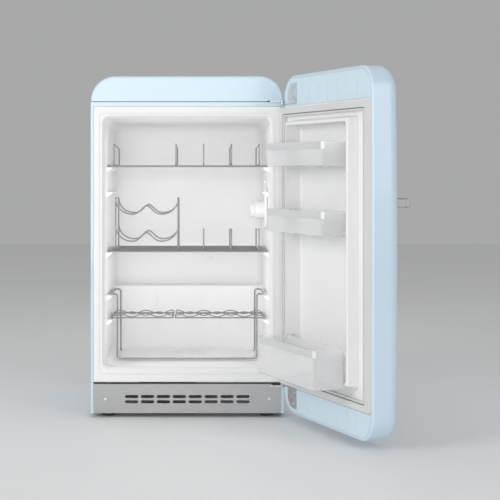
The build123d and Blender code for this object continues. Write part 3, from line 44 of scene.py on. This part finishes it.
# ---------------------------------------------------------------- material helpers
class Recipe:
    """One node material under construction."""

    def __init__(self, name, roughness=0.5, metallic=0.0, **sockets):
        self.material = bpy.data.materials.new(name)
        self.material.use_nodes = True
        self.tree = self.material.node_tree
        self.shader = self.tree.nodes["Principled BSDF"]
        self.shader.inputs["Roughness"].default_value = roughness
        self.shader.inputs["Metallic"].default_value = metallic
        for socket, value in sockets.items():
            self.shader.inputs[socket.replace("_", " ")].default_value = value
        self.coords = self.node("ShaderNodeTexCoord").outputs["Object"]
        self.height = None

    def node(self, kind):
        return self.tree.nodes.new(kind)

    def link(self, source, target):
        self.tree.links.new(source, target)

    def noise(self, scale, stretch=(1, 1, 1), detail=3.0, rough=0.55):
        """Noise in the object's own metres; a large stretch value runs fine across that axis."""
        mapping = self.node("ShaderNodeMapping")
        mapping.inputs["Scale"].default_value = stretch
        self.link(self.coords, mapping.inputs["Vector"])
        made = self.node("ShaderNodeTexNoise")
        made.inputs["Scale"].default_value = scale
        made.inputs["Detail"].default_value = detail
        made.inputs["Roughness"].default_value = rough
        self.link(mapping.outputs["Vector"], made.inputs["Vector"])
        return made.outputs["Fac"]

    def ramp(self, source, low, high, start=0.3, end=0.7):
        made = self.node("ShaderNodeValToRGB")
        made.color_ramp.elements[0].position = start
        made.color_ramp.elements[0].color = (*low, 1)
        made.color_ramp.elements[1].position = end
        made.color_ramp.elements[1].color = (*high, 1)
        self.link(source, made.inputs["Fac"])
        return made.outputs["Color"]

    def colour(self, source):
        self.link(source, self.shader.inputs["Base Color"])

    def tones(self, source, base, spread, start=0.3, end=0.7):
        """Base colour that wanders by spread either side."""
        low = tuple(c * (1 - spread) for c in base)
        high = tuple(min(1.0, c * (1 + spread)) for c in base)
        self.colour(self.ramp(source, low, high, start, end))

    def wear(self, source, low, high):
        """Roughness that wanders from low to high with source."""
        made = self.node("ShaderNodeMapRange")
        made.inputs["To Min"].default_value = low
        made.inputs["To Max"].default_value = high
        self.link(source, made.inputs["Value"])
        self.link(made.outputs["Result"], self.shader.inputs["Roughness"])

    def bump(self, source, strength, distance=0.0005):
        made = self.node("ShaderNodeBump")
        made.inputs["Strength"].default_value = strength
        made.inputs["Distance"].default_value = distance
        self.link(source, made.inputs["Height"])
        if self.height is not None:
            self.link(self.height, made.inputs["Normal"])
        self.height = made.outputs["Normal"]
        self.link(self.height, self.shader.inputs["Normal"])


def enamel(name, base):
    """Glossy sprayed enamel: clear coat, faint orange peel, slow colour drift."""
    mix = Recipe(name, 0.34, Coat_Weight=0.55, Coat_Roughness=0.07, Specular_IOR_Level=0.5)
    mix.tones(mix.noise(3.2, detail=2), base, 0.014)
    mix.wear(mix.noise(38, detail=4), 0.27, 0.40)
    mix.bump(mix.noise(420, detail=2), 0.05, 0.0003)
    return mix.material


def moulded(name, base, low=0.26, high=0.42, grain=0.08, scale=900, **extra):
    """Moulded plastic: fine grain, slightly uneven gloss and tone."""
    mix = Recipe(name, 0.35, **extra)
    mix.tones(mix.noise(5.5, detail=2), base, 0.012)
    mix.wear(mix.noise(24, detail=4), low, high)
    mix.bump(mix.noise(scale, detail=3), grain, 0.0003)
    return mix.material


def brushed(name, base, stretch, low=0.24, high=0.4, spread=0.07, metallic=1.0):
    """Brushed metal: fine lines along the axis that stretch leaves at one."""
    mix = Recipe(name, 0.3, metallic)
    lines = mix.noise(60, stretch, detail=6, rough=0.7)
    mix.tones(lines, base, spread, 0.25, 0.75)
    mix.wear(lines, low, high)
    mix.bump(lines, 0.12, 0.0002)
    return mix.material


def plated(name, base, low=0.1, high=0.22):
    """Plated wire: bright, with faint draw lines and dulled spots."""
    mix = Recipe(name, 0.15, 1.0)
    mix.tones(mix.noise(45, detail=4), base, 0.05)
    mix.wear(mix.noise(130, detail=5), low, high)
    mix.bump(mix.noise(700, detail=2), 0.04, 0.0002)
    return mix.material


def galvanised(name, base):
    """Galvanised sheet with soft spangle."""
    mix = Recipe(name, 0.42, 0.9)
    cells = mix.node("ShaderNodeTexVoronoi")
    cells.inputs["Scale"].default_value = 70
    mix.link(mix.coords, cells.inputs["Vector"])
    mix.tones(cells.outputs["Distance"], base, 0.09, 0.1, 0.6)
    mix.wear(mix.noise(30, detail=4), 0.34, 0.5)
    mix.bump(mix.noise(240, detail=3), 0.08, 0.0003)
    return mix.material


def clear_plastic(name):
    """Clear moulded bin: nearly invisible face on, whiter where it is seen along its walls."""
    mix = Recipe(name, 0.1, Specular_IOR_Level=0.7)
    mix.tones(mix.noise(7, detail=2), (0.90, 0.905, 0.91), 0.03)
    mix.wear(mix.noise(26, detail=4), 0.06, 0.16)
    mix.bump(mix.noise(60, detail=2), 0.06, 0.0005)
    facing = mix.node("ShaderNodeLayerWeight")
    facing.inputs["Blend"].default_value = 0.35
    span = mix.node("ShaderNodeMapRange")
    span.inputs["To Min"].default_value = 0.16
    span.inputs["To Max"].default_value = 0.78
    mix.link(facing.outputs["Facing"], span.inputs["Value"])
    mix.link(span.outputs["Result"], mix.shader.inputs["Alpha"])
    return mix.material


def foam(name):
    """Open, matt foamed insulation."""
    mix = Recipe(name, 0.9)
    mix.tones(mix.noise(60, detail=5), (0.78, 0.70, 0.42), 0.1)
    mix.bump(mix.noise(300, detail=5), 0.5, 0.001)
    return mix.material


MATERIALS = {
    "painted": enamel("cabinet_enamel", ENAMEL),
    "door_paint": enamel("door_enamel", ENAMEL),
    "blue_plastic": moulded("end_cap_plastic", (0.66, 0.79, 0.88), 0.34, 0.5),
    "white_plastic": moulded("white_liner", WHITE, 0.28, 0.40, 0.03, 1400),
    "gasket": moulded("gasket_rubber", (0.70, 0.70, 0.70), 0.48, 0.62, 0.1, 600),
    "seal": moulded("seal_rubber", (0.035, 0.037, 0.04), 0.5, 0.7),
    "foam": foam("foamed_insulation"),
    "aluminium_sheet": brushed("aluminium_sheet", (0.75, 0.76, 0.77), (1, 1, 30)),
    "zinc": galvanised("galvanised_sheet", (0.62, 0.63, 0.65)),
    "black_plastic": moulded("black_plastic", (0.035, 0.035, 0.04), 0.45, 0.6),
    "black_paint": moulded("black_lacquer", (0.022, 0.022, 0.025), 0.3, 0.46, 0.12, 500),
    "rubber": moulded("black_rubber", (0.028, 0.028, 0.03), 0.6, 0.8, 0.15),
    "copper": plated("copper_pipe", (0.78, 0.45, 0.31), 0.22, 0.4),
    "stainless": brushed("brushed_stainless", (0.40, 0.402, 0.405), (0.6, 20, 24), 0.34, 0.5),
    "screw_steel": plated("screw_steel", (0.60, 0.61, 0.62), 0.2, 0.36),
    "lens": moulded("frosted_lens", (0.93, 0.93, 0.91), 0.3, 0.45, 0.05, Transmission_Weight=0.35),
    "wire": plated("plated_wire", (0.36, 0.365, 0.37), 0.26, 0.4),
    "clear_plastic": clear_plastic("clear_bin"),
    "handle_metal": brushed(
        "handle_satin", (0.44, 0.445, 0.45), (14, 14, 40), 0.42, 0.56, metallic=0.7
    ),
}

# Nodes whose finish differs from the rest of their slot
BRIGHT_TRIM = brushed("bright_trim", (0.80, 0.805, 0.81), (0.6, 0.6, 26), 0.48, 0.62, metallic=0.6)
CONTROL_WHITE = moulded("control_plastic", (0.72, 0.72, 0.715), 0.36, 0.5, 0.06, 1100)
NODE_FINISH = {
    "control_housing": CONTROL_WHITE,
    "thermostat_knob": CONTROL_WHITE,
    "handle_base": MATERIALS["handle_metal"],
    "balcony_trim_top": BRIGHT_TRIM,
    "balcony_trim_middle": BRIGHT_TRIM,
    "balcony_trim_bottom": BRIGHT_TRIM,
}

for entry in frame["record"]["subparts"]:
    name = entry["node"]
    finish = NODE_FINISH.get(name, MATERIALS[entry["material_slot"]])
    slots = frame["nodes"][name].data.materials
    slots.clear()
    slots.append(finish)


# ---------------------------------------------------------------- stage, light and camera
def stage_piece(name, corners, material):
    mesh = bpy.data.meshes.new(name)
    mesh.from_pydata(corners, [], [(0, 1, 2, 3)])
    piece = bpy.data.objects.new(name, mesh)
    bpy.context.scene.collection.objects.link(piece)
    piece.data.materials.append(material)


floor_mix = Recipe("pale_floor", 0.5)
floor_mix.tones(floor_mix.noise(1.6), (0.90, 0.903, 0.907), 0.012)
floor_mix.wear(floor_mix.noise(9), 0.42, 0.55)
floor_corners = [
    (-FLOOR_REACH, -FLOOR_REACH, 0),
    (FLOOR_REACH, -FLOOR_REACH, 0),
    (FLOOR_REACH, FLOOR_REACH, 0),
    (-FLOOR_REACH, FLOOR_REACH, 0),
]
stage_piece("floor", floor_corners, floor_mix.material)


def area_light(name, place, target, size, power):
    data = bpy.data.lights.new(name, "AREA")
    data.shape = "RECTANGLE"
    data.size, data.size_y = size
    data.energy = power
    light = bpy.data.objects.new(name, data)
    light.location = place
    light.rotation_euler = (Vector(target) - Vector(place)).to_track_quat("-Z", "Y").to_euler()
    bpy.context.scene.collection.objects.link(light)
    return light


for light_name, settings in STUDIO_LIGHTS.items():
    area_light(light_name, *settings)
# Stands in the liner's mouth and lights the inside only
cavity_fill = area_light("cavity_fill", *CAVITY_LIGHT)
cavity_fill.visible_camera = False
cavity_fill.visible_glossy = False

world = bpy.data.worlds.new("studio")
world.use_nodes = True
world.node_tree.nodes["Background"].inputs["Color"].default_value = (0.87, 0.875, 0.88, 1)
world.node_tree.nodes["Background"].inputs["Strength"].default_value = 0.45
bpy.context.scene.world = world

camera_data = bpy.data.cameras.new("camera")
camera_data.lens = LENS_MM
camera_data.sensor_width = SENSOR_MM
camera_data.shift_x, camera_data.shift_y = LENS_SHIFT
camera = bpy.data.objects.new("camera", camera_data)
camera.location = CAMERA_PLACE
camera.rotation_euler = (math.pi / 2, 0, 0)
bpy.context.scene.collection.objects.link(camera)
bpy.context.scene.camera = camera
bpy.context.scene.view_settings.view_transform = "Standard"
